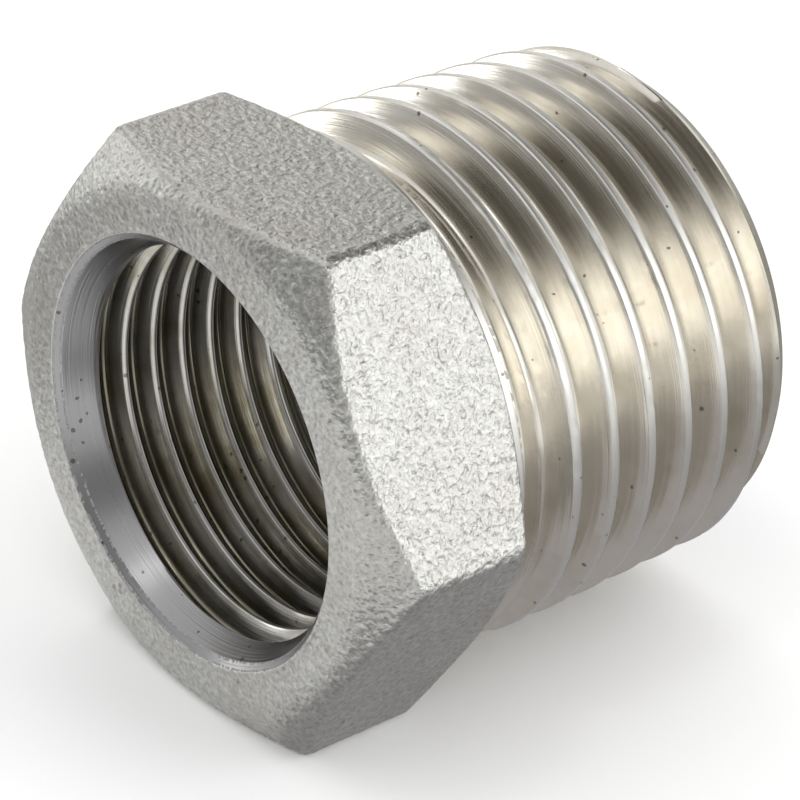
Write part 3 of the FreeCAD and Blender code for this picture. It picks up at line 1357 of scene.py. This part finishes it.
@dataclass(frozen=True)
class ReflectedCard:
    """A plain card beside the fitting, which only polished metal shows."""

    name: str
    place: Place
    width: float
    height: float
    shade: Colour
    lies_flat: bool = False

    def build(self) -> None:
        """Stands the card up, facing the fitting, or lays it on the floor."""
        card = flat_sheet(self.name, self.width, self.height)
        card.location = self.place
        card.rotation_mode = "QUATERNION"
        if not self.lies_flat:
            card.rotation_quaternion = Vector(self.place).to_track_quat("Z", "Y")
        material = bpy.data.materials.new(self.name)
        material.use_nodes = True
        tree = material.node_tree
        tree.nodes.remove(tree.nodes["Principled BSDF"])
        shade = tree.nodes.new("ShaderNodeEmission")
        shade.inputs["Color"].default_value = self.shade
        tree.links.new(shade.outputs[0], tree.nodes["Material Output"].inputs["Surface"])
        card.data.materials.append(material)
        card.visible_camera = False
        card.visible_diffuse = False
        card.visible_shadow = False
        card.visible_transmission = False
        card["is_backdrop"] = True


@dataclass
class Studio:
    """The pale floor, the soft lamps, the cards and the camera."""

    floor_colour: Colour = (0.96, 0.96, 0.96, 1.0)
    floor_width: float = 6.0
    room_level: float = 1.08
    lamps: tuple[SoftLamp, ...] = (
        SoftLamp("right lamp", (0.53, 0.42, 0.26), 0.54, 0.44, 1.8),
        SoftLamp("left lamp", (-0.55, 0.23, 0.54), 0.30, 0.16, 1.8),
        SoftLamp("front left lamp", (-0.41, -0.28, 0.06), 0.30, 0.10, 3.0),
        SoftLamp("top lamp", (0.01, -0.20, 0.65), 0.12, 0.10, 5.0),
    )
    cards: tuple[ReflectedCard, ...] = (
        ReflectedCard("overhead card", (-0.01, 0.30, 0.52), 0.62, 0.50, (0.045, 0.040, 0.027, 1.0)),
        ReflectedCard("back left card", (-0.50, 0.46, 0.38), 0.26, 0.22, (0.42, 0.36, 0.29, 1.0)),
        ReflectedCard("far left card", (-0.74, 0.05, 0.20), 0.50, 0.46, (0.66, 0.64, 0.56, 1.0)),
        ReflectedCard("front card", (-0.039, -0.112, 0.024), 0.20, 0.07, (0.27, 0.27, 0.27, 1.0)),
        ReflectedCard("front wall", (0.16, -0.52, 0.26), 0.85, 0.46, (0.42, 0.42, 0.42, 1.0)),
        ReflectedCard("camera side card", (0.43, -0.25, 0.33), 0.34, 0.32, (0.32, 0.32, 0.31, 1.0)),
        ReflectedCard("low right card", (0.48, 0.35, 0.000), 0.50, 0.10, (0.30, 0.29, 0.30, 1.0)),
        ReflectedCard("right board", (0.030, 0.012, -0.0103), 0.050, 0.066, (0.42, 0.41, 0.42, 1.0), True),
        ReflectedCard("left board", (-0.040, -0.030, -0.0103), 0.045, 0.030, (0.42, 0.41, 0.40, 1.0), True),
        ReflectedCard("side board", (-0.046, 0.002, -0.0103), 0.063, 0.024, (0.34, 0.34, 0.31, 1.0), True),
        ReflectedCard("back board", (-0.030, 0.075, -0.0103), 0.100, 0.121, (0.30, 0.30, 0.26, 1.0), True),
    )
    camera_place: Place = (107.096, -92.357, 86.252)
    camera_aim: Place = (0.2786, -0.6669, -1.0414)
    camera_roll: float = 3.011
    camera_lens: float = 199.57

    def build_floor(self, height: float) -> None:
        """Lays the floor under the fitting.

        Args:
            height: Height of the floor in metres.
        """
        floor = flat_sheet("floor", self.floor_width, self.floor_width)
        floor.location.z = height
        material = bpy.data.materials.new("pale floor")
        material.use_nodes = True
        shader = material.node_tree.nodes["Principled BSDF"]
        shader.inputs["Base Color"].default_value = self.floor_colour
        shader.inputs["Roughness"].default_value = 0.9
        shader.inputs["Specular IOR Level"].default_value = 0.0
        floor.data.materials.append(material)
        floor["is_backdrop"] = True

    def build_world(self) -> None:
        """Fills the room with even light, and shows it white."""
        world = bpy.data.worlds.new("room")
        bpy.context.scene.world = world
        world.use_nodes = True
        tree = world.node_tree
        kinds = {"rays": "ShaderNodeLightPath", "level": "ShaderNodeMapRange"}
        add_nodes(tree, kinds | {"mirrored": "ShaderNodeMath", "seen": "ShaderNodeMath"})
        tree.nodes["mirrored"].operation = "MAXIMUM"
        tree.nodes["seen"].operation = "MAXIMUM"
        tree.nodes["level"].inputs["To Min"].default_value = self.room_level
        tree.nodes["level"].inputs["To Max"].default_value = 1.0
        tree.nodes["Background"].inputs["Color"].default_value = (1.0, 1.0, 1.0, 1.0)
        links = [
            ("rays", "Is Glossy Ray", "mirrored", 0),
            ("rays", "Is Transmission Ray", "mirrored", 1),
            ("rays", "Is Camera Ray", "seen", 0),
            ("mirrored", 0, "seen", 1),
            ("seen", 0, "level", "Value"),
            ("level", "Result", "Background", "Strength"),
        ]
        wire(tree, links)

    def build_camera(self) -> None:
        """Sets up the photograph's camera."""
        data = bpy.data.cameras.new("camera")
        data.sensor_width = 36.0
        data.lens = self.camera_lens
        data.clip_start = 0.005
        data.clip_end = 20.0
        camera = bpy.data.objects.new("camera", data)
        place, aim = Vector(self.camera_place) * MM, Vector(self.camera_aim) * MM
        camera.location = place
        camera.rotation_mode = "QUATERNION"
        roll = Quaternion((0.0, 0.0, 1.0), math.radians(self.camera_roll))
        camera.rotation_quaternion = (aim - place).to_track_quat("-Z", "Y") @ roll
        bpy.context.scene.collection.objects.link(camera)
        bpy.context.scene.camera = camera

    def build(self, floor_height: float) -> None:
        """Builds the floor, the lamps, the cards, the room and the camera.

        Args:
            floor_height: Height of the floor in metres.
        """
        self.build_camera()
        self.build_floor(floor_height)
        self.build_world()
        for thing in (*self.lamps, *self.cards):
            thing.build()


def choose_finishes() -> dict[Finish, CastSkin | TurnedSteel]:
    """Chooses how each of the fitting's finishes looks.

    Returns:
        The finishes' looks.
    """
    grey = (0.50, 0.50, 0.505, 1.0)
    pale = (0.66, 0.66, 0.64, 1.0)
    dull = (0.42, 0.42, 0.42, 1.0)
    return {
        Finish.CAST: CastSkin(),
        Finish.MACHINED: TurnedSteel(
            "machined face",
            steel=grey,
            stain=(0.44, 0.42, 0.43, 1.0),
            crest=grey,
            stain_strength=0.3,
            low_gloss=0.16,
            high_gloss=0.30,
        ),
        Finish.OUTSIDE_THREAD: TurnedSteel(
            "outside thread",
            steel=(0.70, 0.67, 0.605, 1.0),
            stain=(0.57, 0.53, 0.45, 1.0),
            crest=pale,
            stain_strength=0.5,
            low_gloss=0.17,
            high_gloss=0.30,
        ),
        Finish.INSIDE_THREAD: TurnedSteel(
            "inside thread",
            steel=(0.62, 0.605, 0.565, 1.0),
            stain=(0.36, 0.32, 0.21, 1.0),
            crest=dull,
            stain_strength=0.6,
            low_gloss=0.15,
            high_gloss=0.27,
            speck_share=0.12,
        ),
    }


def plain(corners: tuple[Vector, Vector]) -> list[list[float]]:
    """Turns a box's two corners into plain lists of numbers."""
    return [[round(value, 6) for value in corner] for corner in corners]


def main() -> None:
    logging.basicConfig(level=logging.INFO, format="%(name)s: %(message)s")
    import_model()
    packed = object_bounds()
    bpy.context.scene.view_settings.view_transform = "Standard"
    effects = SurfaceEffects()
    looks = choose_finishes()
    materials = [looks[finish].build(effects) for finish in Finish]
    for piece in (CastCollar().build(), TurnedStem().build()):
        for material in materials:
            piece.data.materials.append(material)
        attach(piece, BODY)
        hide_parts(NODE)
        LOG.info("%s rides on %s", piece.name, BODY)
    Studio().build(packed[0].z)
    {"packed": plain(packed), "visual": plain(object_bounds())}


if __name__ == "__main__":
    main()
